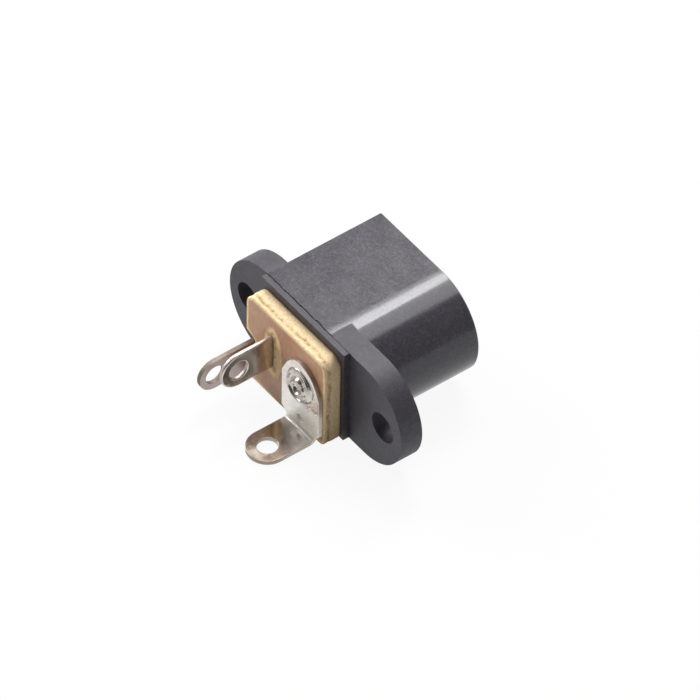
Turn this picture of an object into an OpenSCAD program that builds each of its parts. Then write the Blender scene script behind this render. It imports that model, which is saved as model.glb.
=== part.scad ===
// Panel-mount DC power jack: a black moulded housing with two screw ears, closed at the back
// by a punched phenolic board that carries the centre pin and the three solder contacts.
// Units are millimetres. +Y points out of the plug opening, +X along the ears and +Z up.
// The origin lies midway between the ear holes, on the front face of the ears.

/* [Flange] */
// Distance between the centres of the two ear holes
ear_pitch = 18; // [17.4:0.1:18.8]
// Diameter of the ear holes
ear_hole_d = 2.8; // [2.2:0.1:3]
// Distance from the centre of an ear hole to the end of its ear
ear_end = 2.5; // [2.2:0.1:3.5]
// Thickness of the flange
flange_t = 2.1; // [1.6:0.1:3]
// How far the flange lies below the top and bottom of the body
flange_step = 0.05; // [0.02:0.01:0.2]

/* [Housing] */
// Height of the body
body_h = 9.8; // [9.6:0.1:11]
// Distance of the body's flat side from the middle of the flange
flat_side = 6.5; // [6.3:0.1:7]
// Distance of the centre of the body's round side from the middle of the flange
round_x = 1.75; // [1.4:0.05:2]
// Length of the barrel in front of the flange
barrel_l = 9.45; // [8.8:0.05:12]
// Chamfer round the front of the barrel
rim_chamfer = 0.1; // [0.05:0.05:0.5]
// Thickness of the boss behind the flange
boss_t = 0.55; // [0.4:0.05:1]
// Distance of the boss's right side from the middle of the flange
boss_right = 4.55; // [4.4:0.05:5.5]

/* [Socket] */
// Distance of the plug axis from the middle of the flange
socket_x = 1.35; // [1.2:0.05:1.5]
// Outer diameter of the plug that the socket takes
plug_d = 5.5; // [5:0.1:5.7]
// Clearance round the plug in the mouth
mouth_gap = 0.35; // [0.2:0.05:0.5]
// Length of the mouth, with its lead-in
mouth_l = 1.5; // [1.2:0.1:2]
// Lead-in chamfer at the mouth
mouth_chamfer = 0.3; // [0.1:0.05:0.5]
// Clearance round the plug in the cavity behind the mouth
cavity_gap = 0.55; // [0.5:0.05:0.75]
// Diameter of the opening behind the cavity
rear_opening_d = 4.8; // [4.4:0.1:5.2]
// Depth of that opening from the housing's rear face
rear_opening_l = 1.1; // [1:0.1:1.6]
// Wall between the contact chamber and the body's flat side
side_wall = 0.65; // [0.5:0.05:0.8]
// Wall between the contact chamber and the front of the barrel
front_wall = 1.8; // [1.6:0.1:2.2]
// How far the contact chamber runs in past the edge of the cavity
chamber_lap = 1; // [0.8:0.1:1.4]
// Clearance above and below the contacts in their chamber
chamber_gap = 0.1; // [0.05:0.05:0.2]

/* [Terminal board] */
// Thickness of the terminal board
board_t = 1.55; // [1.2:0.05:2]
// Distance of the board from the flat side of the body
board_inset_left = 0.05; // [0:0.05:0.2]
// Distance of the board from the right side of the boss
board_inset_right = 0.4; // [0.3:0.05:0.8]
// Distance of the board from the top of the boss
board_inset_top = 0.85; // [0.5:0.05:1.2]
// How far the board hangs below the boss
board_drop = 0.3; // [0:0.05:0.4]
// Radius on the board's top corners
board_top_r = 1; // [0.5:0.1:1.4]
// Radius on the board's bottom corners
board_bottom_r = 0.7; // [0.2:0.1:0.8]
// Clearance of the blades in the board's slot and notch
slot_gap = 0.05; // [0.03:0.01:0.1]
// Clearance above and below the blade in the board's notch
notch_gap = 0.15; // [0.1:0.05:0.25]
// Rise of the notch's top edge towards the side of the board
notch_rise = 0.5; // [0.2:0.1:0.8]

/* [Centre pin] */
// Diameter of the centre pin
pin_d = 2; // [1.8:0.05:2.5]
// Distance of the pin's tip behind the front of the barrel
pin_recess = 1.7; // [1.6:0.1:2.5]
// Diameter of the pin's shoulder
shoulder_d = 3.6; // [3:0.1:4]
// Thickness of the pin's shoulder
shoulder_t = 0.8; // [0.5:0.1:1]
// Diameter of the tenon that passes through the board
tenon_d = 1.6; // [1.2:0.1:1.8]
// Clearance round the tenon in the board and the lug
tenon_gap = 0.02; // [0.01:0.01:0.05]
// Diameter of the swaged head
head_d = 3.3; // [2.9:0.1:4.2]
// Height of the swaged head
head_h = 0.46; // [0.2:0.02:0.6]
// Diameter of the punch mark in the swaged head
punch_d = 1.7; // [1.2:0.1:2]
// Depth of the punch mark
punch_depth = 0.24; // [0.1:0.02:0.3]

/* [Solder lugs] */
// Thickness of the contact sheet
sheet_t = 0.4; // [0.3:0.05:0.45]
// Diameter of the solder eyes
eye_d = 1.8; // [1.4:0.1:2]
// Width of the pin lug's plate
plate_w = 4.95; // [4.5:0.05:5.1]
// Radius of the plate's rounded top
crown_r = 2.1; // [1.9:0.05:2.3]
// Height of that radius's centre above the plug axis
crown_rise = 0.25; // [0.1:0.05:0.4]
// Distance of the pin lug's tongue below the plug axis
tongue_drop = 4.95; // [4.9:0.05:5.5]
// Inner radius of the pin lug's bend
bend_r = 0.25; // [0.15:0.05:0.35]
// Width of the pin lug's tongue
tongue_w = 3.6; // [3:0.1:4]
// Height of the taper between the plate and the tongue
taper_h = 0.65; // [0.5:0.05:0.8]
// Distance of the pin lug's eye from the board
pin_eye_reach = 3.65; // [3.3:0.05:4.5]
// Distance of the lug's locating dimple below the plug axis
dimple_drop = 3.8; // [3.5:0.05:3.9]
// Diameter of the locating dimple
dimple_d = 1; // [0.8:0.1:1.2]
// Width of the switch contact's lug
switch_lug_w = 3.5; // [3:0.1:3.6]
// Distance of the switch contact's eye from the board
switch_eye_reach = 3.35; // [3:0.05:4]
// Width of the sleeve spring's lug
sleeve_lug_w = 3; // [2.8:0.1:3.4]
// Distance of the sleeve spring's eye from the board
sleeve_eye_reach = 3.95; // [3.5:0.05:4.5]
// Distance of the sleeve spring's lug below the plug axis
sleeve_drop = 2.2; // [2.1:0.05:2.3]
// Distance between the planes of the two contacts
contact_pitch = 2.45; // [2.3:0.05:2.6]

/* [Contact blades] */
// How far a contact's shoulders stand out past its lug
shoulder_w = 0.35; // [0.25:0.05:0.4]
// Length of the contact shoulders along the plug axis
shoulder_l = 0.8; // [0.6:0.1:1]
// Width of the sleeve spring's blade
blade_w = 2.6; // [2:0.1:2.8]
// Distance of the middle of that blade below the plug axis
blade_drop = 1.1; // [0.9:0.05:1.2]
// Distance from the shoulders to the pad that meets the switch contact
pad_start = 2.5; // [2.2:0.1:3]
// Length of that pad
pad_l = 1.2; // [0.8:0.1:1.6]
// Distance from the pad to the crest of the spring
crest_reach = 2.8; // [2.4:0.1:3]
// Distance from the crest to the tip of the spring
tip_reach = 1.7; // [1.4:0.1:1.8]
// How far the tip falls back from the crest
tip_fall = 0.8; // [0.5:0.1:1.2]
// How far the crest stands into the plug's space
spring_press = 0.3; // [0.2:0.05:0.5]
// Clearance between the pad and the switch contact
contact_gap = 0.02; // [0.01:0.01:0.04]

/* [Hidden] */
$fn = 96;
// Overlap that lets a cut run out through a face
eps = 0.1;
// Steps in each curve of the sleeve spring
spring_steps = 10;

// Stations along Y, from the front of the barrel to the back of the lug
flange_back_y = -flange_t;
rear_y = flange_back_y - boss_t;
board_back_y = rear_y - board_t;
lug_back_y = board_back_y - sheet_t;
mouth_y = barrel_l - mouth_l;
pin_tip_y = barrel_l - pin_recess;
cavity_y = rear_y + rear_opening_l;
chamber_front_y = barrel_l - front_wall;
shoulder_y = rear_y + shoulder_l;

// Heights and half widths
flange_r = body_h / 2 - flange_step;
round_r = body_h / 2;
cavity_r = plug_d / 2 + cavity_gap;

// Edges of the terminal board
board_left = -flat_side + board_inset_left;
board_right = boss_right - board_inset_right;
board_top = body_h / 2 - board_inset_top;
board_bottom = -body_h / 2 - board_drop;

// Planes of the contacts: each is the lower X face of its sheet
sleeve_x = -flat_side + side_wall + chamber_gap;
switch_x = sleeve_x + contact_pitch;

// The chamber that holds both contacts
chamber_left = -flat_side + side_wall;
chamber_right = socket_x - cavity_r + chamber_lap;
chamber_top = switch_lug_w / 2 + chamber_gap;
chamber_bottom = -sleeve_drop - sleeve_lug_w / 2 - chamber_gap;

// Middle line of the sleeve spring
root_x = sleeve_x + sheet_t / 2;
pad_x = switch_x - contact_gap - sheet_t / 2;
crest_x = socket_x - plug_d / 2 + spring_press - sheet_t / 2;
pad_y = shoulder_y + pad_start;
pad_end_y = pad_y + pad_l;
crest_y = pad_end_y + crest_reach;
tip_y = crest_y + tip_reach;

// A flat shape drawn in X and Z, standing from y0 to y1
module slab_y(y0, y1) {
    translate([0, y1, 0]) rotate([90, 0, 0]) linear_extrude(y1 - y0) children();
}

// A flat shape drawn in Y and Z, standing from x0 to x1
module slab_x(x0, x1) {
    translate([x0, 0, 0]) rotate([90, 0, 90]) linear_extrude(x1 - x0) children();
}

// A flat shape drawn in X and Y, standing from z0 to z1
module slab_z(z0, z1) {
    translate([0, 0, z0]) linear_extrude(z1 - z0) children();
}

// A profile of radius and Y, turned round the line at x
module turned(x, angle = 360) {
    translate([x, 0, 0]) rotate([-90, 0, 0]) rotate([0, 0, -90]) rotate_extrude(angle = angle) children();
}

// A rectangle between two corners
module box2d(x0, y0, x1, y1) {
    translate([x0, y0]) square([x1 - x0, y1 - y0]);
}

// What a rounded corner of radius r loses; the corner points towards +X and +Y times the signs
module corner_loss(x, z, r, side, up) {
    translate([x, z]) scale([side, up]) difference() {
        translate([-r, -r]) square(r + eps);
        translate([-r, -r]) circle(r);
    }
}

// The block of the body on its flat side, chamfered round the front
module flat_half() {
    front = barrel_l;
    c = rim_chamfer;
    half = body_h / 2;
    intersection() {
        slab_z(-half, half) polygon([
            [-flat_side, flange_back_y], [round_x, flange_back_y], [round_x, front],
            [-flat_side + c, front], [-flat_side, front - c]
        ]);
        slab_x(-flat_side, round_x) polygon([
            [flange_back_y, -half], [front - c, -half], [front, c - half],
            [front, half - c], [front - c, half], [flange_back_y, half]
        ]);
    }
}

// The half barrel on the round side, with the same chamfer
module round_half() {
    turned(round_x, 180) polygon([
        [0, flange_back_y], [round_r, flange_back_y], [round_r, barrel_l - rim_chamfer],
        [round_r - rim_chamfer, barrel_l], [0, barrel_l]
    ]);
}

// The flange with its two round ears
module flange() {
    end_x = ear_pitch / 2 + ear_end - flange_r;
    slab_y(flange_back_y, 0) {
        box2d(-end_x, -flange_r, end_x, flange_r);
        for (side = [-1, 1]) translate([side * end_x, 0]) circle(flange_r);
    }
}

// The space that the plug and the centre pin stand in
module socket_space() {
    mouth_r = plug_d / 2 + mouth_gap;
    opening_r = rear_opening_d / 2;
    turned(socket_x) polygon([
        [0, rear_y - eps], [opening_r, rear_y - eps], [opening_r, cavity_y],
        [cavity_r, cavity_y], [cavity_r, mouth_y], [mouth_r, mouth_y],
        [mouth_r, barrel_l - mouth_chamfer], [mouth_r + mouth_chamfer, barrel_l],
        [mouth_r + mouth_chamfer, barrel_l + eps], [0, barrel_l + eps]
    ]);
}

// The chamber for the contacts, with the wider pocket that traps their shoulders
module contact_space() {
    slab_y(rear_y - eps, chamber_front_y)
        box2d(chamber_left, chamber_bottom, chamber_right, chamber_top);
    slab_y(rear_y - eps, shoulder_y)
        box2d(chamber_left, chamber_bottom - shoulder_w, chamber_right, chamber_top + shoulder_w);
}

module housing() {
    color([0.13, 0.13, 0.15]) difference() {
        union() {
            flat_half();
            round_half();
            flange();
            slab_y(rear_y, flange_back_y) box2d(-flat_side, -body_h / 2, boss_right, body_h / 2);
        }
        socket_space();
        contact_space();
        for (side = [-1, 1])
            translate([side * ear_pitch / 2, flange_back_y - eps, 0])
                rotate([-90, 0, 0]) cylinder(d = ear_hole_d, h = flange_t + 2 * eps);
    }
}

// The board's outline, with its rounded corners
module board_outline() {
    difference() {
        box2d(board_left, board_bottom, board_right, board_top);
        for (side = [-1, 1]) {
            edge = side > 0 ? board_right : board_left;
            corner_loss(edge, board_top, board_top_r, side, 1);
            corner_loss(edge, board_bottom, board_bottom_r, side, -1);
        }
    }
}

// The notch in the board's left edge that the sleeve spring's lug passes through
module board_notch() {
    inner = sleeve_x + sheet_t + slot_gap;
    top = -sleeve_drop + sleeve_lug_w / 2 + notch_gap;
    bottom = -sleeve_drop - sleeve_lug_w / 2 - notch_gap;
    outer = board_left - eps;
    polygon([[outer, bottom], [inner, bottom], [inner, top], [outer, top + notch_rise]]);
}

module terminal_board() {
    slot_half = switch_lug_w / 2 + slot_gap;
    color([0.76, 0.6, 0.42]) slab_y(board_back_y, rear_y) difference() {
        board_outline();
        board_notch();
        box2d(switch_x - slot_gap, -slot_half, switch_x + sheet_t + slot_gap, slot_half);
        translate([socket_x, 0]) circle(d = tenon_d + 2 * tenon_gap);
        translate([socket_x, -dimple_drop]) circle(d = dimple_d + 2 * tenon_gap);
    }
}

// The turned pin: a round-ended shank, a shoulder, and a tenon swaged over the lug
module center_pin() {
    pin_r = pin_d / 2;
    tenon_r = tenon_d / 2;
    head_r = head_d / 2;
    punch_r = punch_d / 2;
    face_r = (head_r + punch_r) / 2;
    color([0.75, 0.73, 0.7]) turned(socket_x) difference() {
        union() {
            polygon([
                [0, lug_back_y - head_h], [face_r, lug_back_y - head_h],
                [head_r, lug_back_y - head_h / 3], [head_r, lug_back_y], [tenon_r, lug_back_y],
                [tenon_r, rear_y], [shoulder_d / 2, rear_y],
                [shoulder_d / 2, rear_y + shoulder_t], [pin_r, rear_y + shoulder_t],
                [pin_r, pin_tip_y - pin_r], [0, pin_tip_y - pin_r]
            ]);
            intersection() {
                translate([0, pin_tip_y - pin_r]) circle(pin_r);
                box2d(0, pin_tip_y - pin_r, pin_r, pin_tip_y);
            }
        }
        polygon([
            [0, lug_back_y - head_h - eps], [punch_r, lug_back_y - head_h - eps],
            [punch_r, lug_back_y - head_h], [punch_r / 2, lug_back_y - head_h + punch_depth],
            [0, lug_back_y - head_h + punch_depth]
        ]);
    }
}

// The upright plate of the pin lug, drawn in X and Z from the plug axis
module plate_outline() {
    bend_z = -tongue_drop + bend_r;
    taper_z = bend_z + taper_h;
    half = plate_w / 2;
    lean = acos(crown_r / norm([half, crown_rise])) - atan2(crown_rise, half);
    side_x = crown_r * cos(lean);
    side_z = crown_rise + crown_r * sin(lean);
    translate([0, crown_rise]) circle(crown_r);
    polygon([
        [-half, 0], [-half, taper_z], [-tongue_w / 2, bend_z], [tongue_w / 2, bend_z],
        [half, taper_z], [half, 0], [side_x, side_z], [-side_x, side_z]
    ]);
}

// The pin lug: a plate riveted on by the pin, bent under into a tongue with a solder eye
module pin_lug() {
    bend_y = lug_back_y - bend_r;
    bend_z = -tongue_drop + bend_r;
    eye_y = board_back_y - pin_eye_reach;
    half = tongue_w / 2;
    color([0.78, 0.76, 0.73]) translate([socket_x, 0, 0]) difference() {
        union() {
            slab_y(lug_back_y, board_back_y) plate_outline();
            translate([-half, bend_y, bend_z]) rotate([90, 0, 90]) rotate([0, 0, -90])
                linear_extrude(tongue_w) intersection() {
                    difference() {
                        circle(bend_r + sheet_t);
                        circle(bend_r);
                    }
                    square(bend_r + sheet_t);
                }
            slab_z(-tongue_drop - sheet_t, -tongue_drop) {
                box2d(-half, eye_y, half, bend_y);
                translate([0, eye_y]) circle(half);
            }
            translate([0, board_back_y, -dimple_drop]) rotate([-90, 0, 0])
                cylinder(d = dimple_d, h = sheet_t / 2);
        }
        translate([0, lug_back_y - eps, 0]) rotate([-90, 0, 0])
            cylinder(d = tenon_d + 2 * tenon_gap, h = sheet_t + 2 * eps);
        translate([0, eye_y, -tongue_drop - sheet_t - eps]) cylinder(d = eye_d, h = sheet_t + 2 * eps);
        translate([0, lug_back_y, -dimple_drop]) rotate([90, 0, 0]) translate([0, 0, -sheet_t / 2])
            cylinder(d1 = dimple_d / 2, d2 = dimple_d, h = sheet_t / 2 + eps);
    }
}

// A lug drawn in Y and Z: a strap with a round end, its eye cut later
module lug_outline(width, reach, height) {
    eye_y = board_back_y - reach;
    translate([eye_y, height]) circle(width / 2);
    box2d(eye_y, height - width / 2, rear_y, height + width / 2);
}

// The shoulders that bear on the inside of the board, drawn in Y and Z
module shoulder_outline(width, height) {
    half = width / 2 + shoulder_w;
    box2d(rear_y, height - half, shoulder_y, height + half);
}

// The eye of a lug that stands upright, through the sheet at x
module upright_eye(x, reach, height) {
    translate([x - eps, board_back_y - reach, height]) rotate([0, 90, 0])
        cylinder(d = eye_d, h = sheet_t + 2 * eps);
}

// The fixed contact that the sleeve spring rests on while no plug is in
module switch_contact() {
    half = switch_lug_w / 2;
    color([0.72, 0.7, 0.67]) difference() {
        slab_x(switch_x, switch_x + sheet_t) {
            lug_outline(switch_lug_w, switch_eye_reach, 0);
            shoulder_outline(switch_lug_w, 0);
            box2d(rear_y, -half, pad_end_y, half);
        }
        upright_eye(switch_x, switch_eye_reach, 0);
    }
}

// A smooth step from a to b as t runs from 0 to 1
function ease(a, b, t) = a + (b - a) * (1 - cos(180 * t)) / 2;

// One smooth stretch of the spring's middle line, without its last point
function stretch(p, q) = [
    for (i = [0 : spring_steps - 1])
        let (t = i / spring_steps)
        [ease(p[0], q[0], t), p[1] + (q[1] - p[1]) * t]
];

// The spring's middle line in X and Y, from the end of the lug to the tip
spring_line = concat(
    [[root_x, board_back_y - sleeve_eye_reach - sleeve_lug_w]],
    stretch([root_x, shoulder_y], [pad_x, pad_y]),
    [[pad_x, pad_y]],
    stretch([pad_x, pad_end_y], [crest_x, crest_y]),
    stretch([crest_x, crest_y], [crest_x - tip_fall, tip_y]),
    [[crest_x - tip_fall, tip_y]]
);

// The point beside point i of the spring's middle line, half a sheet away to one side
function beside(i, side) =
    let (
        last = len(spring_line) - 1,
        run = spring_line[min(i + 1, last)] - spring_line[max(i - 1, 0)]
    )
    spring_line[i] + side * sheet_t / 2 * [run[1], -run[0]] / norm(run);

// The sprung contact that presses on the plug's sleeve
module sleeve_spring() {
    last = len(spring_line) - 1;
    blade_top = -blade_drop + blade_w / 2;
    color([0.66, 0.62, 0.58]) difference() {
        intersection() {
            slab_z(-body_h, body_h) polygon(concat(
                [for (i = [0 : last]) beside(i, 1)],
                [for (i = [last : -1 : 0]) beside(i, -1)]
            ));
            slab_x(-flat_side, socket_x) {
                lug_outline(sleeve_lug_w, sleeve_eye_reach, -sleeve_drop);
                shoulder_outline(sleeve_lug_w, -sleeve_drop);
                box2d(rear_y, blade_top - blade_w, tip_y + eps, blade_top);
            }
        }
        upright_eye(sleeve_x, sleeve_eye_reach, -sleeve_drop);
    }
}

housing();
terminal_board();
center_pin();
pin_lug();
switch_contact();
sleeve_spring();
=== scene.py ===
"""Looks of a panel-mount DC power jack: moulded housing, punched board and plated, stamped contacts.

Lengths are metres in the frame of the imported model: the origin lies between the ear holes on the
ears' front face, +Y points out of the plug opening, +X along the ears and +Z up.
"""

import math

import bmesh
import bpy
import numpy as np
from mathutils import Matrix, Vector, geometry, noise

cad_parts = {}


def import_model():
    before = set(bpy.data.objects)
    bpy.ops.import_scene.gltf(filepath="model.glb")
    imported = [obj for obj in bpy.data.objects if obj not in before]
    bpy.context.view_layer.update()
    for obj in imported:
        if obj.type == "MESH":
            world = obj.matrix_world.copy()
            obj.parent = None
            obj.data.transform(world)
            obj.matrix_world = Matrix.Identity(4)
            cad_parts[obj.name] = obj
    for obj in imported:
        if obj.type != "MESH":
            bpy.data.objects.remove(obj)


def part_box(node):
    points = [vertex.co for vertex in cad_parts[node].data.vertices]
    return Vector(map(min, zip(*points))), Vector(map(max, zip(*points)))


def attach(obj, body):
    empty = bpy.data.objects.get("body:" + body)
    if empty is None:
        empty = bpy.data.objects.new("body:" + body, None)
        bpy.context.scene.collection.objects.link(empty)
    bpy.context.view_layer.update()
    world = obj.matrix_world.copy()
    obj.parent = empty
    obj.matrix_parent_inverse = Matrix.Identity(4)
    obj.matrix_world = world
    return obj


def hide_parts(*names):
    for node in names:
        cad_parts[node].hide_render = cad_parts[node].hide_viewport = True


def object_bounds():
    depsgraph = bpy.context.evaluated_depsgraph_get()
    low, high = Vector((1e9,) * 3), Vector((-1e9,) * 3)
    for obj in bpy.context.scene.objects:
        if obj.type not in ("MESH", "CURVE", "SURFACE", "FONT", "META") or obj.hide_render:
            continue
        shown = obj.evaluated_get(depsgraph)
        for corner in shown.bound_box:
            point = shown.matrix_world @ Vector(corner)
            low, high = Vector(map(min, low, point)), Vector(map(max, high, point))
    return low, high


MM = 0.001

# Where the camera stands, in degrees round the object and above it, its roll, the point that it
# looks at, from how far, and how wide a view it takes in; its sensor is in millimetres
AZIMUTH = 52.4
ELEVATION = 46.15
ROLL = 0.89
AIM = Vector((0.62, 0.95, 0.08)) * MM
DISTANCE = 1.0
VIEW_WIDTH = 56.33 * MM
SENSOR = 36

# The room: the direction in which it is darkest, the cosines from there between which it changes,
# and how bright it is outside that region and in it
DARK_SIDE = (0.6, -0.75, 0.28)
DARK_FROM = 0.3
DARK_FULL = 0.9
ROOM_GREY = 0.39
ROOM_DARK = 0.08

# Soft boxes: azimuth, elevation and roll in degrees, distance, width and height in metres, radiance
LAMPS = {
    "key": (222.5, 55.0, 41.9, 0.5, 0.28, 0.122, 15.5),
    "top": (184.8, 64.9, -5.3, 0.5, 0.3, 0.18, 3.9),
    "side": (-100, 27, 0, 0.6, 0.5, 0.35, 1.2),
    "front": (-72, 30, 0, 0.6, 0.35, 0.30, 8.5),
}

# The floor: its size, its grey, and how white it shows, from its own shade at 0 to pure white at 1
FLOOR_SIZE = 0.6
FLOOR_GREY = (0.70, 0.70, 0.70, 1.0)
FLOOR_ROUGH = 0.9
FLOOR_GLOW = 0.92
WHITE = (1.0, 1.0, 1.0, 1.0)

# Black thermoplastic, in linear colours: its two dark tones, its pale specks, its gloss
MOULD_WARM = (0.034, 0.030, 0.037, 1.0)
MOULD_COOL = (0.031, 0.030, 0.042, 1.0)
MOULD_PALE = (0.113, 0.102, 0.126, 1.0)
MOULD_IOR = 1.48
BODY_ROUGH = 0.19
EAR_ROUGH = 0.55

# Where the ears' coarser skin begins: just ahead of their front face, and to the right of the flat
# top; and how soft its border is
EAR_FRONT = 0.08 * MM
EAR_START = 1.9 * MM
EAR_FADE = 0.1 * MM

# Paper phenolic: its face, its fibres, and what the punch has torn, crushed and cracked
BOARD_DEEP = (0.42, 0.20, 0.108, 1.0)
BOARD_LIGHT = (0.52, 0.275, 0.152, 1.0)
BOARD_FIBRE = (0.56, 0.315, 0.185, 1.0)
BOARD_TORN = (0.68, 0.47, 0.24, 1.0)
BOARD_SHREDS = (0.90, 0.72, 0.48, 1.0)
BOARD_CRUSHED = (0.88, 0.62, 0.33, 1.0)
BOARD_CRACK = (0.36, 0.20, 0.06, 1.0)

# Plated pieces: a bright and a dull tone, the roughness, and the tone of the sheared edges
PIN_FINISH = ((0.68, 0.64, 0.60, 1.0), (0.54, 0.50, 0.45, 1.0), 0.22, (0.5, 0.45, 0.4, 1.0))
LUG_FINISH = ((0.76, 0.70, 0.67, 1.0), (0.66, 0.60, 0.54, 1.0), 0.14, (0.38, 0.33, 0.30, 1.0))
CONTACT_FINISH = ((0.78, 0.71, 0.66, 1.0), (0.66, 0.58, 0.51, 1.0), 0.15, (0.50, 0.43, 0.40, 1.0))
SPRING_FINISH = ((0.42, 0.35, 0.34, 1.0), (0.37, 0.31, 0.29, 1.0), 0.3, (0.20, 0.16, 0.13, 1.0))

# The grime in their grain, how far a sheared edge takes its tone, and how much rougher it is
GRIME = (0.30, 0.21, 0.14, 1.0)
EDGE_TINT = 0.85
EDGE_ROUGH = 0.3

# Patches on the pin lug, each carrying a painted reflection: a colour and what it adds to the roughness
# The tongue's end: a darker brown that is a painted reflection of the board, and a little rougher
PAINTED_BOARD_REFLECTION = ((0.33, 0.28, 0.23, 1.0), 0.02)
# The plate's foot: rougher where it is frosted, and near white as a painted reflection of the white floor
FROST_AND_PAINTED_GLEAM = ((0.93, 0.92, 0.86, 1.0), 0.35)

# Points of a CAD mesh nearer than this are one, and faces that bend less than this are one flat face
JOIN_DIST = 0.0005 * MM
FLAT_ANGLE = math.radians(0.5)

# Rounding of the edges of the contact sheet, for edges that bend more than that
SHEET_EDGE = 0.14 * MM
SHEET_STEPS = 4
SHEET_ANGLE = math.radians(28)

# Edges of the moulding and the pin that bend more than this stay crisp
CRISP = math.radians(35)

# Where the flat top ends at the round side, where it starts to fall away before that, how far below
# the top the first facet of the round side lies, and the share of the height above which that side
# sinks with the top
CROWN_X = 1.75 * MM
CROWN_START = 1.25 * MM
CROWN_STRIPS = 8
CROWN_SKIN = 0.07 * MM
CROWN_LOW = 0.7

# A length too short to matter, and how near to a plane or a point counts as on it
TINY = 0.0001 * MM
TOUCH = 0.001 * MM

# Thickness of the contact sheet, and the inner radius of the pin lug's bend
SHEET_T = 0.4 * MM
BEND_R = 0.25 * MM

# The cosine between a face's normal and the sheet's thickness at which the face is plain, and the
# one at which it is sheared
PLAIN_FACE = 0.95
SHEARED_FACE = 0.5

# The witness line of the mould, between the flange and the boss: its place, how wide and deep its
# furrow is, how far it wanders, and where along X it runs
FLASH_Y = -2.1 * MM
FLASH_W = 0.065 * MM
FLASH_DEPTH = 0.1 * MM
FLASH_WANDER = 0.06 * MM
FLASH_STEP = 0.12 * MM
FLASH_START = -6.75 * MM
FLASH_END = 4.75 * MM

# Sizes of its ragged features: its wander, its tears and its few wide gaps; the least share of its
# width that is left
FLASH_RUN = 0.9 * MM
FLASH_TEAR = 0.35 * MM
FLASH_GAP = 1.3 * MM
FLASH_LEAST = 0.3

# The swaged head: its radius, its mesh, the arms of its punched star, the side to which it bulges and
# the side on which its rim lies further in
HEAD_R = 1.65 * MM
HEAD_RINGS = 44
HEAD_STEPS = 132
HEAD_LEAN = math.radians(215)
HEAD_FLANK = math.radians(50)
STAR_ARMS = 4
STAR_TURN = 0.6

# How ragged the head is: its outline, and the size and height of the tears in its middle
HEAD_RAGGED = 0.025
HEAD_NICK = 0.6
HEAD_TEAR = 0.22
HEAD_TORN = 0.2

# Forms of the head, in shares of its radius and height: rolled rim, edge, bulge, torn lip and crater;
# the wear takes its share from the rim and the edge at the top
RIM_AT = 0.88
RIM_INWARD = 0.05
RIM_WIDTH = 0.09
RIM_RISE = 0.55
RIM_WEAR = 0.7
EDGE_RISE = 0.35
EDGE_WEAR = 0.6
BULGE_RISE = 0.25
LIP_AT = 0.44
LIP_OUT = 0.05
LIP_WIDTH = 0.07
LIP_RISE = 0.35
ARM_RISE = 0.3
CRATER_LOSS = 0.8
CRATER_FLOOR = 0.1
HIGHEST = 0.99

# The punched board: spacing of its points, and how far its outline and holes bleach its face
BOARD_STEP = 0.09 * MM
BOARD_GRID = 0.13 * MM
BOARD_RINGS = 14
OUTLINE_REACH = 0.35 * MM
HOLE_REACH = 0.3 * MM

# Its walls: depth and size of their tears, how much finer these are past the crack, and how far the
# wall rolls over at its two faces
TORN_DEPTH = 0.06 * MM
TORN_SIZE = 0.28 * MM
TORN_FINER = 0.45
ROLL_OVER = 0.04 * MM

# The crack in its walls: where it lies, how far it wanders and how wide it is, in shares of the
# thickness; what it takes away, the sizes of its wander and of its spots, and the level in the noise
# from which its wander is read
CRACK_DEPTH = 0.31
CRACK_WANDER = 0.15
CRACK_WIDTH = 0.085
CRACK_LOSS = 0.09 * MM
CRACK_RUN = 1.1 * MM
CRACK_SPOT = 0.4 * MM
CRACK_LEVEL = 0.7 * MM

# How rough its crushed face is, and how far that is pressed up
RUFFLE = 0.05 * MM
RUFFLE_SIZE = 0.3 * MM
PRESSED_UP = 0.2 * RUFFLE

# The oval round the contact's slot: its shift, how far it stands out, how strong and soft it is
HALO_ASIDE = 0.22 * MM
HALO_OUT = 0.8 * MM
HALO_UP = 0.8 * MM
HALO_STRENGTH = 0.85
HALO_SOFT = 0.18

# Darker brown patches right round the slot: how far they reach, their size, their share and their contrast
DARKENING_REACH = 0.5 * MM
DARKENING_SIZE = 0.35 * MM
DARKENING_SHARE = 0.35
DARKENING_CONTRAST = 1.1


# ---------------------------------------------------------------- shader helpers


def add(tree, kind, inputs=(), **settings):
    """Adds a node; each input is a number, a colour or another node's output."""
    node = tree.nodes.new("ShaderNode" + kind)
    for key, value in settings.items():
        setattr(node, key, value)
    for key, value in dict(inputs).items():
        socket = node.inputs[key]
        if isinstance(value, bpy.types.NodeSocket):
            tree.links.new(value, socket)
        else:
            socket.default_value = value
    return node


def new_material(name):
    """An empty material: its node tree, its Principled shader and its object coordinates."""
    material = bpy.data.materials.new(name)
    material.use_nodes = True
    tree = material.node_tree
    shader = tree.nodes["Principled BSDF"]
    place = add(tree, "TexCoord").outputs["Object"]
    return material, tree, shader, place


def speckle(tree, place, size, detail=3.0, rough=0.55, stretch=(1, 1, 1), twist=0.0):
    """Noise from 0 to 1 whose blotches are about that size, drawn out along each axis by stretch."""
    scale = Vector((1 / s for s in stretch)) / size
    moved = add(tree, "Mapping", {"Vector": place, "Scale": scale})
    inputs = {"Vector": moved.outputs[0], "Scale": 1.0, "Detail": detail, "Roughness": rough,
              "Distortion": twist}
    return add(tree, "TexNoise", inputs).outputs["Fac"]


def spread(tree, value, low, high, to_low=0.0, to_high=1.0):
    """The value's stretch from low to high, spread over another stretch."""
    inputs = {"Value": value, "From Min": low, "From Max": high, "To Min": to_low, "To Max": to_high}
    return add(tree, "MapRange", inputs).outputs[0]


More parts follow.
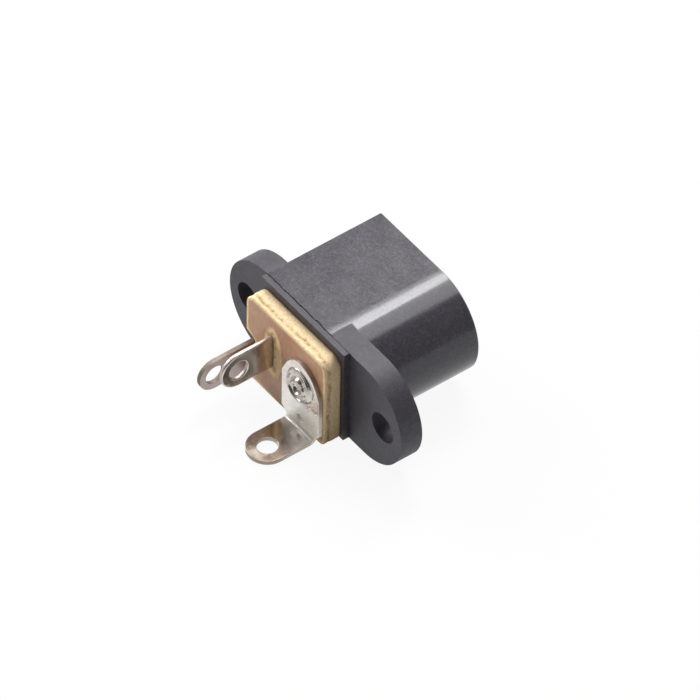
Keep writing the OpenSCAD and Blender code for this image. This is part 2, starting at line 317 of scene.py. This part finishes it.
def blend(tree, factor, first, second, mode="MIX"):
    """Two colours mixed by a factor."""
    node = add(tree, "Mix", data_type="RGBA", blend_type=mode)
    for index, value in ((0, factor), (6, first), (7, second)):
        if isinstance(value, bpy.types.NodeSocket):
            tree.links.new(value, node.inputs[index])
        else:
            node.inputs[index].default_value = value
    return node.outputs[2]


def math_node(tree, operation, first, second=0.0):
    """One sum of two values."""
    return add(tree, "Math", {0: first, 1: second}, operation=operation).outputs[0]


def bumps(tree, shader, *layers):
    """Stacks bump layers, each a height and the depth in metres that it stands for."""
    normal = None
    for height, depth in layers:
        inputs = {"Height": height, "Distance": depth, "Strength": 1.0}
        if normal:
            inputs["Normal"] = normal
        normal = add(tree, "Bump", inputs).outputs[0]
    tree.links.new(normal, shader.inputs["Normal"])


# ---------------------------------------------------------------- materials


def moulded_black():
    """Black thermoplastic: the barrel satin off the mould, the ears coarser, all of it finely mottled."""
    material, tree, shader, place = new_material("moulded_black")
    fine = speckle(tree, place, 0.15 * MM, detail=4.0, rough=0.75)
    mottle = speckle(tree, place, 0.45 * MM, detail=4.0, rough=0.65)
    cloud = speckle(tree, place, 2.2 * MM, detail=2.0, rough=0.5)
    tint = speckle(tree, place, 0.6 * MM, detail=2.0, rough=0.5)
    dark = blend(tree, spread(tree, tint, 0.35, 0.65), MOULD_WARM, MOULD_COOL)
    pale = blend(tree, spread(tree, fine, 0.35, 0.7), dark, MOULD_PALE)
    worn = blend(tree, spread(tree, mottle, 0.3, 0.7, to_low=0.15, to_high=0.85), dark, pale)
    tree.links.new(worn, shader.inputs["Base Color"])
    spots = math_node(tree, "ADD", spread(tree, fine, 0.3, 0.7, to_low=-0.03, to_high=0.03),
                      spread(tree, cloud, 0.35, 0.65, to_low=-0.015, to_high=0.015))
    skin = spread(tree, ear_share(tree, place), 0, 1, to_low=BODY_ROUGH, to_high=EAR_ROUGH)
    tree.links.new(math_node(tree, "ADD", spots, skin), shader.inputs["Roughness"])
    shader.inputs["IOR"].default_value = MOULD_IOR
    bumps(tree, shader, (fine, 0.0009 * MM), (mottle, 0.0025 * MM))
    return material


def ear_share(tree, place):
    """1 on the two ears and on the boss behind them, and 0 on the body."""
    parts = add(tree, "SeparateXYZ", {0: place})
    across, along = parts.outputs["X"], parts.outputs["Y"]
    flat_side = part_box("terminal_board")[0].x
    behind = spread(tree, along, EAR_FRONT, EAR_FRONT - EAR_FADE)
    right = spread(tree, across, EAR_START, EAR_START + 1.5 * EAR_FADE)
    left = spread(tree, across, flat_side, flat_side - EAR_FADE)
    boss = spread(tree, along, FLASH_Y + 0.4 * EAR_FADE, FLASH_Y - 0.4 * EAR_FADE)
    sides = math_node(tree, "MAXIMUM", left, right)
    return math_node(tree, "MAXIMUM", boss, math_node(tree, "MULTIPLY", behind, sides))


def phenolic():
    """Paper phenolic: tan, faintly speckled, and bleached to cream where the punch has crushed it."""
    material, tree, shader, place = new_material("phenolic")
    fibre = speckle(tree, place, 0.3 * MM, detail=4.0, rough=0.6, stretch=(1, 1, 2.5))
    cloud = speckle(tree, place, 1.8 * MM, detail=2.0, rough=0.5)
    grit = speckle(tree, place, 0.12 * MM, detail=3.0, rough=0.7)
    face = blend(tree, spread(tree, cloud, 0.3, 0.7), BOARD_DEEP, BOARD_LIGHT)
    face = blend(tree, spread(tree, fibre, 0.35, 0.75), face, BOARD_FIBRE)
    torn_wall = blend(tree, spread(tree, grit, 0.35, 0.65), BOARD_TORN, BOARD_SHREDS)
    crushed = add(tree, "Attribute", attribute_name="crushed").outputs["Fac"]
    ragged = math_node(tree, "ADD", crushed, spread(tree, fibre, 0.2, 0.8, to_low=-0.25, to_high=0.25))
    colour = blend(tree, spread(tree, ragged, 0.1, 0.6), face, BOARD_CRUSHED)
    colour = blend(tree, spread(tree, ragged, 0.7, 0.95), colour, torn_wall)
    crack = add(tree, "Attribute", attribute_name="crack").outputs["Fac"]
    colour = blend(tree, crack, colour, BOARD_CRACK)
    tree.links.new(colour, shader.inputs["Base Color"])
    rough = spread(tree, crushed, 0.2, 0.8, to_low=0.42, to_high=0.8)
    tree.links.new(rough, shader.inputs["Roughness"])
    bumps(tree, shader, (grit, 0.012 * MM), (fibre, 0.006 * MM))
    return material


def plated(name, bright, dull, roughness, edge_tone, patches=()):
    """Nickel plate on stamped brass, dull in blotches and finely scratched, with a tone for its sheared
    edges; each patch is a function for its place, a colour and what it adds to the roughness."""
    material, tree, shader, place = new_material(name)
    blotch = speckle(tree, place, 0.9 * MM, detail=3.0, rough=0.6)
    grain = speckle(tree, place, 0.13 * MM, detail=3.0, rough=0.6)
    wave = speckle(tree, place, 1.6 * MM, detail=0.0, rough=0.5)
    scratch = speckle(tree, place, 0.06 * MM, detail=2.0, rough=0.6, stretch=(2, 9, 1.3))
    colour = blend(tree, spread(tree, blotch, 0.4, 0.62), bright, dull)
    colour = blend(tree, spread(tree, grain, 0.55, 0.8, to_high=0.3), colour, GRIME)
    edge = add(tree, "Attribute", attribute_name="sheared").outputs["Fac"]
    colour = blend(tree, math_node(tree, "MULTIPLY", edge, EDGE_TINT), colour, edge_tone)
    dulled = spread(tree, blotch, 0.35, 0.65, to_low=roughness - 0.03, to_high=roughness + 0.06)
    rough = math_node(tree, "ADD", dulled, spread(tree, scratch, 0.45, 0.8, to_high=0.06))
    rough = math_node(tree, "ADD", rough, math_node(tree, "MULTIPLY", edge, EDGE_ROUGH))
    for where, tone, coarser in patches:
        share = where(tree, place, grain)
        colour = blend(tree, share, colour, tone)
        rough = math_node(tree, "ADD", rough, math_node(tree, "MULTIPLY", share, coarser))
    shader.inputs["Metallic"].default_value = 1.0
    tree.links.new(colour, shader.inputs["Base Color"])
    tree.links.new(rough, shader.inputs["Roughness"])
    bumps(tree, shader, (scratch, 0.0008 * MM), (grain, 0.0007 * MM), (wave, 0.006 * MM))
    return material


def tongue_end(tree, place, grain):
    """The end of the pin lug's tongue, where its darker brown is a painted reflection of the brown board,
    mottled by the grain.
    """
    along = add(tree, "SeparateXYZ", {0: place}).outputs["Y"]
    outer = spread(tree, along, -6.9 * MM, -8.6 * MM)
    return math_node(tree, "MULTIPLY", outer, spread(tree, grain, 0.3, 0.6, to_low=0.65))


def plate_foot(tree, place, grain):
    """The lower part of the pin lug's plate, above its bend: frosted, and painted near white in its grain
    as a painted reflection of the white floor.
    """
    parts = add(tree, "SeparateXYZ", {0: place})
    low = spread(tree, parts.outputs["Z"], -1.2 * MM, -2.2 * MM)
    plate = spread(tree, parts.outputs["Y"], -4.9 * MM, -4.7 * MM)
    foot = math_node(tree, "MULTIPLY", low, plate)
    return math_node(tree, "MULTIPLY", foot, spread(tree, grain, 0.2, 0.6))


def white_floor():
    """A white table that shows as white, in metal too, and keeps a faint shadow."""
    material, tree, shader, _ = new_material("white_floor")
    shader.inputs["Base Color"].default_value = FLOOR_GREY
    shader.inputs["Roughness"].default_value = FLOOR_ROUGH
    glow = add(tree, "Emission", {"Color": WHITE, "Strength": 1.0})
    share = math_node(tree, "MULTIPLY", seen_rays(tree), FLOOR_GLOW)
    mixed = add(tree, "MixShader", {0: share, 1: shader.outputs[0], 2: glow.outputs[0]})
    tree.links.new(mixed.outputs[0], tree.nodes["Material Output"].inputs["Surface"])
    return material


def seen_rays(tree):
    """1 for the rays that the camera sees straight, mirrored or through glass, and 0 for other light."""
    path = add(tree, "LightPath")
    total = path.outputs["Is Camera Ray"]
    for kind in ("Is Glossy Ray", "Is Transmission Ray"):
        total = math_node(tree, "MAXIMUM", total, path.outputs[kind])
    return total


# ---------------------------------------------------------------- mesh helpers


def clean_copy(node):
    """A CAD node's mesh in bmesh form, with its split edges joined and its flat faces whole."""
    shape = bmesh.new()
    shape.from_mesh(bpy.data.objects[node].data)
    bmesh.ops.remove_doubles(shape, verts=shape.verts, dist=JOIN_DIST)
    bmesh.ops.dissolve_limit(shape, angle_limit=FLAT_ANGLE, verts=shape.verts, edges=shape.edges)
    return shape


def new_piece(name, shape, material, slot, *nodes):
    """A finished piece from a bmesh, standing for CAD nodes."""
    mesh = bpy.data.meshes.new(name)
    shape.to_mesh(mesh)
    shape.free()
    piece = bpy.data.objects.new(name, mesh)
    bpy.context.scene.collection.objects.link(piece)
    mesh.materials.append(material)
    mesh.shade_smooth()
    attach(piece, "root")
    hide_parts(*nodes)
    return piece


def bake_modifiers(piece):
    """Turns a piece's modifiers into its mesh."""
    graph = bpy.context.evaluated_depsgraph_get()
    mesh = bpy.data.meshes.new_from_object(piece.evaluated_get(graph))
    piece.modifiers.clear()
    piece.data = mesh


def round_edges(piece):
    """Rounds the sharp edges of a piece of sheet."""
    bevel = piece.modifiers.new("edges", "BEVEL")
    bevel.width = SHEET_EDGE
    bevel.segments = SHEET_STEPS
    bevel.limit_method = "ANGLE"
    bevel.angle_limit = SHEET_ANGLE
    bevel.use_clamp_overlap = True
    finish_normals(piece)


def carve(piece, cutter):
    """Takes a cutter out of a piece, whose sharp edges stay crisp."""
    cut = piece.modifiers.new("carve", "BOOLEAN")
    cut.operation = "DIFFERENCE"
    cut.solver = "EXACT"
    cut.object = cutter
    bake_modifiers(piece)
    bpy.data.objects.remove(cutter)
    keep_crisp(piece)


def finish_normals(piece):
    """Lets the large faces of a piece look flat, and bakes its modifiers."""
    normals = piece.modifiers.new("normals", "WEIGHTED_NORMAL")
    normals.keep_sharp = True
    bake_modifiers(piece)


def keep_crisp(piece):
    """Breaks the shading of a piece at its sharp edges, and finishes it."""
    shape = bmesh.new()
    shape.from_mesh(piece.data)
    for edge in shape.edges:
        if len(edge.link_faces) == 2 and edge.calc_face_angle() > CRISP:
            edge.smooth = False
    shape.to_mesh(piece.data)
    shape.free()
    finish_normals(piece)


def flat_loops(node, axis, place):
    """The closed outlines of a CAD node's flat face at that place on an axis, longest first."""
    shape = clean_copy(node)
    level = {v for v in shape.verts if abs(v.co[axis] - place) < TOUCH}
    faces = {f for f in shape.faces if all(v in level for v in f.verts)}
    rims = [e for e in shape.edges if sum(f in faces for f in e.link_faces) == 1]
    loops = []
    while rims:
        edge = rims.pop()
        loop = list(edge.verts)
        while True:
            following = next((e for e in rims if loop[-1] in e.verts), None)
            if following is None:
                break
            rims.remove(following)
            loop.append(following.other_vert(loop[-1]))
        loops.append([v.co.copy() for v in loop[:-1]])
    shape.free()
    return sorted(loops, key=perimeter, reverse=True)


def perimeter(loop):
    """The length of a closed outline."""
    return sum((a - b).length for a, b in zip(loop, loop[1:] + loop[:1]))


def resampled(loop, step):
    """A closed outline with extra points, so that no two neighbours lie further apart than step."""
    points = []
    for a, b in zip(loop, loop[1:] + loop[:1]):
        count = max(1, math.ceil((b - a).length / step))
        points += [a.lerp(b, i / count) for i in range(count)]
    return points


def outward(points, hole):
    """The direction out of the material at each point of an outline that lies in X and Z."""
    area = sum(a.x * b.z - b.x * a.z for a, b in zip(points, points[1:] + points[:1]))
    sign = (1 if area > 0 else -1) * (-1 if hole else 1)
    ways = []
    for before, after in zip(points[-1:] + points[:-1], points[1:] + points[:1]):
        run = (after - before).normalized()
        ways.append(Vector((run.z, 0, -run.x)) * sign)
    return ways


def inside(x, z, loop):
    """Whether a point lies inside an outline of (x, z) pairs."""
    crossed = False
    for (ax, az), (bx, bz) in zip(loop, loop[1:] + loop[:1]):
        if (az > z) != (bz > z) and x < ax + (bx - ax) * (z - az) / (bz - az):
            crossed = not crossed
    return crossed


def rim_distance(x, z, edge):
    """How far a point lies from the nearest of an array of outline points."""
    return float(np.sqrt(((edge - (x, z)) ** 2).sum(1).min()))


def torn(point, size):
    """Ragged noise, mostly from -1 to 1, at a point, with features of about that size."""
    fall_off, finer, octaves = 0.9, 2.1, 4
    return noise.fractal(point / size, fall_off, finer, octaves)


def smooth(value, low, high):
    """A smooth step from 0 at low to 1 at high."""
    t = min(max((value - low) / (high - low), 0), 1)
    return t * t * (3 - 2 * t)


def hump(value, middle, width):
    """A round hump that is 1 in its middle."""
    return math.exp(-(((value - middle) / width) ** 2))


def join_rings(shape, rings, flip=False):
    """Closes the bands between rings that have equally many points."""
    for near, far in zip(rings, rings[1:]):
        for i in range(len(near)):
            j = (i + 1) % len(near)
            corners = [near[i], near[j], far[j], far[i]]
            shape.faces.new(corners[::-1] if flip else corners)


# ---------------------------------------------------------------- pieces


def housing_piece():
    """The moulding, with its softened crown and the furrow of its witness line."""
    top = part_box("housing")[1].z
    shape = clean_copy("housing")
    soften_crown(shape, top)
    piece = new_piece("housing_moulding", shape, moulded_black(), "housing", "housing")
    carve(piece, furrow_cutter(top))
    return piece


def soften_crown(shape, top):
    """Turns the flat top over into the round side without the crisp line of a drawing.

    The top bends down at an even rate until, at the first corner of the round side, it slopes as that
    side does; the round side sinks by as much as the top then lies lower.
    """
    near_top = top - CROWN_SKIN
    end = min(v.co.x for v in shape.verts if v.co.x > CROWN_X + TINY and near_top < v.co.z < top - TINY)
    fall = math.asin((end - CROWN_X) / top) / (end - CROWN_START)
    sunk = fall * (end - CROWN_START) ** 2 / 2 - round_drop(end, top)
    for i in range(CROWN_STRIPS + 1):
        x = CROWN_START + (end - CROWN_START) * i / CROWN_STRIPS
        everything = shape.verts[:] + shape.edges[:] + shape.faces[:]
        bmesh.ops.bisect_plane(shape, geom=everything, dist=TINY, plane_co=(x, 0, 0), plane_no=(1, 0, 0))
    for vert in shape.verts:
        x, z = vert.co.x, vert.co.z
        if CROWN_X < x < end and near_top < z < top - TINY:
            vert.co.z = top - round_drop(x, top)
        if x > end:
            vert.co.z -= sunk * smooth(z, CROWN_LOW * top, top)
        elif x > CROWN_START and z > top - 3 * CROWN_SKIN:
            vert.co.z -= fall * (x - CROWN_START) ** 2 / 2 - round_drop(x, top)


def round_drop(x, radius):
    """How far the round side has dropped below the flat top at x."""
    return radius - math.sqrt(radius ** 2 - max(x - CROWN_X, 0) ** 2)


def furrow_cutter(level):
    """A thin ragged wedge along X that cuts the witness line into a top at that height."""
    shape = bmesh.new()
    rings = []
    count = math.ceil((FLASH_END - FLASH_START) / FLASH_STEP)
    for i in range(count + 1):
        x = FLASH_START + (FLASH_END - FLASH_START) * i / count
        spot = Vector((x, 0, 0))
        middle = FLASH_Y + FLASH_WANDER * torn(spot, FLASH_RUN)
        gape = 1.5 * max(torn(spot, FLASH_GAP) - 0.2, 0)
        half = FLASH_W * max(0.9 + 0.7 * torn(spot, FLASH_TEAR) + gape, FLASH_LEAST)
        sides = [(-half, 0.01), (0, -1.0), (half, 0.01), (half, 1.0), (-half, 1.0)]
        rings.append([shape.verts.new((x, middle + y, level + FLASH_DEPTH * rise)) for y, rise in sides])
    join_rings(shape, rings)
    shape.faces.new(rings[0])
    shape.faces.new(rings[-1])
    bmesh.ops.recalc_face_normals(shape, faces=shape.faces)
    mesh = bpy.data.meshes.new("furrow")
    shape.to_mesh(mesh)
    shape.free()
    cutter = bpy.data.objects.new("furrow", mesh)
    bpy.context.scene.collection.objects.link(cutter)
    return cutter


def wall_tear(point, depth):
    """What a punched wall has lost at a point, and how cracked it is there; depth is from the back."""
    wander = CRACK_DEPTH + CRACK_WANDER * torn(Vector((point.x, CRACK_LEVEL, point.z)), CRACK_RUN)
    crack = hump(depth, wander, CRACK_WIDTH) * (0.6 + 0.8 * torn(point, CRACK_SPOT))
    coarse = 1.0 if depth < wander else TORN_FINER
    loss = coarse * TORN_DEPTH * (0.5 + 0.5 * torn(point, TORN_SIZE)) + CRACK_LOSS * max(crack, 0)
    return loss, min(max(crack, 0), 1)


def punched_wall(shape, loop, hole, y_back, y_front, layer):
    """One punched wall of the board: coarse at the back, a ragged crack, and finer to the front."""
    points = resampled(loop, BOARD_STEP)
    ways = outward(points, hole)
    rings = []
    for k in range(BOARD_RINGS + 1):
        depth = k / BOARD_RINGS
        ring = []
        for point, way in zip(points, ways):
            start = point.copy()
            start.y = y_back + (y_front - y_back) * depth
            loss, crack = wall_tear(start, depth)
            if k in (0, BOARD_RINGS):
                loss += ROLL_OVER
            vert = shape.verts.new(start - way * max(loss, 0))
            vert[layer["crushed"]] = 1.0
            vert[layer["crack"]] = crack
            ring.append(vert)
        rings.append(ring)
    join_rings(shape, rings, flip=hole)
    return rings


def on_face(x, z, outlines):
    """Whether a point lies inside the first outline and outside the others, which are holes."""
    return inside(x, z, outlines[0]) and not any(inside(x, z, hole) for hole in outlines[1:])


def free_points(outlines, edges):
    """The points of a grid that lie on a face and clear of its outlines."""
    xs, zs = zip(*outlines[0])
    every = np.concatenate(edges)
    for x in np.arange(min(xs), max(xs), BOARD_GRID):
        for z in np.arange(min(zs), max(zs), BOARD_GRID):
            if rim_distance(x, z, every) >= 0.5 * BOARD_GRID and on_face(x, z, outlines):
                yield x, z


def board_face(shape, rings, slot, y, inward, layer):
    """A flat face of the board at y, crushed pale towards each of its edges and round its slot."""
    outlines = [[(v.co.x, v.co.z) for v in ring] for ring in rings]
    edges = [np.array(outline) for outline in outlines]
    reach = [OUTLINE_REACH] + [HOLE_REACH] * (len(edges) - 1)
    verts = [v for ring in rings for v in ring]
    for x, z in free_points(outlines, edges):
        crushed = max(1 - rim_distance(x, z, e) / r for e, r in zip(edges, reach))
        crushed = min(max(crushed, slot_ring(x, z, edges[slot]), 0), 1)
        rough = crushed * RUFFLE * torn(Vector((x, y, z)), RUFFLE_SIZE)
        vert = shape.verts.new((x, y + inward * (abs(rough) - PRESSED_UP * crushed), z))
        vert[layer["crushed"]] = crushed
        # On the faces the crack layer carries the darker brown patches round the slot
        vert[layer["crack"]] = slot_darkening(x, z, edges[slot])
        verts.append(vert)
    join_face(shape, outlines, verts)


def join_face(shape, outlines, verts):
    """Joins the points of a face into triangles, where the first of them lie along its outlines."""
    bonds, start = [], 0
    for outline in outlines:
        bonds += [(start + i, start + (i + 1) % len(outline)) for i in range(len(outline))]
        start += len(outline)
    coords = [Vector((v.co.x, v.co.z)) for v in verts]
    points = [c / MM for c in coords]
    whole_hull, tolerance = 0, 1e-6
    _, _, faces, origin, _, _ = geometry.delaunay_2d_cdt(points, bonds, [], whole_hull, tolerance)
    for face in faces:
        corners = [origin[i][0] for i in face]
        middle = sum((coords[i] for i in corners), Vector((0, 0))) / len(corners)
        if on_face(*middle, outlines):
            shape.faces.new([verts[i] for i in corners])


def slot_darkening(x, z, edge):
    """How much darker brown the board is right round the slot, from 0 to 1, in patches."""
    near = smooth(rim_distance(x, z, edge), DARKENING_REACH, 0.3 * DARKENING_REACH)
    patchy = DARKENING_SHARE + DARKENING_CONTRAST * torn(Vector((x, 0, z)), DARKENING_SIZE)
    return near * min(max(patchy, 0), 1)


def slot_ring(x, z, edge):
    """How crushed a point is in the oval that the punch has pressed up round the contact's slot."""
    middle = (edge.min(0) + edge.max(0)) / 2 + (HALO_ASIDE, 0)
    half = (edge.max(0) - edge.min(0)) / 2 + (HALO_OUT, HALO_UP)
    away = math.dist(((x - middle[0]) / half[0], (z - middle[1]) / half[1]), (0, 0))
    return HALO_STRENGTH * smooth(away, 1.0 + HALO_SOFT, 1.0 - HALO_SOFT)


def board_piece():
    """The terminal board, punched from paper phenolic: torn walls, and crushed rims round its holes."""
    low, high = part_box("terminal_board")
    shape = bmesh.new()
    layer = {name: shape.verts.layers.float.new(name) for name in ("crushed", "crack")}
    loops = flat_loops("terminal_board", 1, low.y)
    walls = [punched_wall(shape, loop, i > 0, low.y, high.y, layer) for i, loop in enumerate(loops)]
    slot = next(i for i, loop in enumerate(loops) if is_slot(loop))
    board_face(shape, [wall[0] for wall in walls], slot, low.y, 1, layer)
    board_face(shape, [wall[-1] for wall in walls], slot, high.y, -1, layer)
    bmesh.ops.recalc_face_normals(shape, faces=shape.faces)
    return new_piece("board_punched", shape, phenolic(), "board", "terminal_board")


def is_slot(loop):
    """Whether an outline is long and narrow, as the switch contact's slot is."""
    wide = max(p.x for p in loop) - min(p.x for p in loop)
    tall = max(p.z for p in loop) - min(p.z for p in loop)
    return tall > 3 * wide


def sheet_piece(name, node, slot, material, across):
    """A stamped contact: across gives the direction of its thickness at a point."""
    piece = new_piece(name, clean_copy(node), material, slot, node)
    round_edges(piece)
    sheared = piece.data.attributes.new("sheared", "FLOAT", "FACE")
    for face, mark in zip(piece.data.polygons, sheared.data):
        mark.value = smooth(abs(face.normal.dot(across(face.center))), PLAIN_FACE, SHEARED_FACE)
    return piece


def upright(_):
    """The thickness of a contact that stands upright runs along X."""
    return Vector((1, 0, 0))


def bent():
    """For the pin lug: the direction of its thickness at a point, along Y in the plate, Z in the tongue."""
    corner = Vector((0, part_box("terminal_board")[0].y - SHEET_T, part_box("pin_lug")[0].z + SHEET_T))
    centre = corner + Vector((0, -BEND_R, BEND_R))

    def across(point):
        if point.y > corner.y - TOUCH and point.z > corner.z:
            return Vector((0, 1, 0))
        if point.y < centre.y:
            return Vector((0, 0, 1))
        return (Vector((0, point.y, point.z)) - centre).normalized()

    return across


def pin_piece():
    """The turned centre pin, with its tail punched over the lug."""
    low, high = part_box("center_pin")
    axis = (low.x + high.x) / 2
    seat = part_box("terminal_board")[0].y - SHEET_T
    nickel = plated("pin_nickel", *PIN_FINISH)
    shape = clean_copy("center_pin")
    everything = shape.verts[:] + shape.edges[:] + shape.faces[:]
    cut = bmesh.ops.bisect_plane(shape, geom=everything, dist=TINY, plane_co=(0, seat, 0),
                                 plane_no=(0, -1, 0), clear_outer=True)["geom_cut"]
    bmesh.ops.contextual_create(shape, geom=[e for e in cut if isinstance(e, bmesh.types.BMEdge)])
    piece = new_piece("pin_turned", shape, nickel, "pin", "center_pin")
    keep_crisp(piece)
    head = bmesh.new()
    swaged_head(head, axis, seat, seat - low.y)
    new_piece("pin_head", head, nickel, "pin", "center_pin")


def swaged_head(shape, axis, seat, height):
    """The punched tail: a rolled rim, a trough, a torn star and a rough crater inside it."""
    rings = []
    for k in range(HEAD_RINGS + 1):
        share = k / HEAD_RINGS
        ring = []
        for i in range(HEAD_STEPS):
            turn = 2 * math.pi * i / HEAD_STEPS
            point = Vector((share * math.cos(turn), 0, share * math.sin(turn)))
            rise = head_rise(share, turn if k else 0) + head_rough(share, point)
            reach = HEAD_R * share * (1 - HEAD_RAGGED * share * (0.5 + 0.5 * torn(point, HEAD_NICK)))
            x = axis + reach * math.cos(turn)
            z = reach * math.sin(turn)
            ring.append(shape.verts.new((x, seat - height * min(max(rise, 0), HIGHEST), z)))
        rings.append(ring)
    foot = [shape.verts.new((v.co.x, seat, v.co.z)) for v in rings[-1]]
    join_rings(shape, rings + [foot])
    shape.faces.new(foot)
    bmesh.ops.remove_doubles(shape, verts=rings[0], dist=TOUCH)
    bmesh.ops.recalc_face_normals(shape, faces=shape.faces)


def head_rise(share, turn):
    """How high the head stands at a share of its radius, as a share of its own height."""
    worn = (0.5 + 0.5 * math.sin(turn)) ** 2
    ridge = RIM_AT - RIM_INWARD * (0.5 + 0.5 * math.cos(turn - HEAD_FLANK))
    rim = hump(share, ridge, RIM_WIDTH) * RIM_RISE * (1 - RIM_WEAR * worn)
    edge = EDGE_RISE * smooth(share, 1.0, 0.94) * (1 - EDGE_WEAR * worn)
    bulge = BULGE_RISE * smooth(share, 0.95, 0.6) * (0.5 - 0.5 * math.cos(turn - HEAD_LEAN))
    arms = 0.5 + 0.5 * math.cos(STAR_ARMS * turn + STAR_TURN)
    lip = hump(share, LIP_AT + LIP_OUT * arms, LIP_WIDTH) * (LIP_RISE + ARM_RISE * arms)
    crater = smooth(share, 0.42, 0.2)
    return (edge + rim + bulge + lip) * (1 - CRATER_LOSS * crater) + CRATER_FLOOR * crater


def head_rough(share, point):
    """How ragged the punched middle of the head is."""
    return HEAD_TORN * smooth(share, 0.75, 0.3) * torn(point, HEAD_TEAR)


# ---------------------------------------------------------------- stage


def add_floor(level):
    """The table that the jack rests on."""
    bpy.ops.mesh.primitive_plane_add(size=FLOOR_SIZE, location=(0, 0, level))
    floor = bpy.context.object
    floor.name = "floor"
    floor.data.materials.append(white_floor())


def softbox(name, azimuth, elevation, roll, distance, width, height, radiance):
    """An area lamp of that brightness, azimuth degrees round from -Y, that looks at the object."""
    lamp = bpy.data.lights.new(name, "AREA")
    lamp.shape = "RECTANGLE"
    lamp.size = width
    lamp.size_y = height
    lamp.energy = radiance * math.pi * width * height
    holder = bpy.data.objects.new(name, lamp)
    bpy.context.scene.collection.objects.link(holder)
    holder.matrix_world = looking(azimuth, elevation, roll, Vector((0, 0, 0)), distance)


def looking(azimuth, elevation, roll, aim, distance):
    """The place of a camera or lamp that looks at aim along its own -Z."""
    turn, rise, tilt = (math.radians(a) for a in (azimuth, elevation, roll))
    back = Vector((math.sin(turn) * math.cos(rise), -math.cos(turn) * math.cos(rise), math.sin(rise)))
    level = Vector((math.cos(turn), math.sin(turn), 0))
    right = math.cos(tilt) * level + math.sin(tilt) * back.cross(level)
    up = back.cross(right)
    return Matrix.Translation(aim + back * distance) @ Matrix((right, up, back)).transposed().to_4x4()


def add_camera():
    """The camera at the photograph's viewing angle."""
    lens = bpy.data.cameras.new("camera")
    lens.sensor_width = SENSOR
    lens.lens = lens.sensor_width * DISTANCE / VIEW_WIDTH
    camera = bpy.data.objects.new("camera", lens)
    bpy.context.scene.collection.objects.link(camera)
    camera.matrix_world = looking(AZIMUTH, ELEVATION, ROLL, AIM, DISTANCE)
    bpy.context.scene.camera = camera


def light_room():
    """A grey room that is darker on one side and white to the camera, with its soft boxes."""
    world = bpy.data.worlds.new("room")
    bpy.context.scene.world = world
    world.use_nodes = True
    tree = world.node_tree
    room = tree.nodes["Background"]
    room.inputs["Color"].default_value = WHITE
    way = add(tree, "TexCoord").outputs["Generated"]
    facing = add(tree, "VectorMath", {0: way, 1: DARK_SIDE}, operation="DOT_PRODUCT").outputs["Value"]
    grey = spread(tree, facing, DARK_FROM, DARK_FULL, to_low=ROOM_GREY, to_high=ROOM_DARK)
    seen = add(tree, "LightPath").outputs["Is Camera Ray"]
    strength = add(tree, "Mix", {0: seen, 2: grey, 3: 1.0}, data_type="FLOAT").outputs[0]
    tree.links.new(strength, room.inputs["Strength"])
    for name, settings in LAMPS.items():
        softbox(name, *settings)



def contact_pieces():
    """The three stamped solder lugs, each with its own plate."""
    # The tongue's end carries a painted reflection of the board; the plate's foot carries a painted
    # reflection of the white floor on its frosted skin
    lug = plated("lug_nickel", *LUG_FINISH, ((tongue_end, *PAINTED_BOARD_REFLECTION), (plate_foot, *FROST_AND_PAINTED_GLEAM)))
    sheet_piece("lug_stamped", "pin_lug", "lug", lug, bent())
    contact = plated("contact_nickel", *CONTACT_FINISH)
    sheet_piece("contact_stamped", "switch_contact", "contact", contact, upright)
    spring = plated("spring_nickel", *SPRING_FINISH)
    sheet_piece("spring_stamped", "sleeve_spring", "spring", spring, upright)


def main():
    """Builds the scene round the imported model."""
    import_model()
    cad_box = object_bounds()
    bpy.context.scene.view_settings.view_transform = "Standard"
    add_camera()
    light_room()
    add_floor(cad_box[0][2])
    housing_piece()
    board_piece()
    pin_piece()
    contact_pieces()


main()
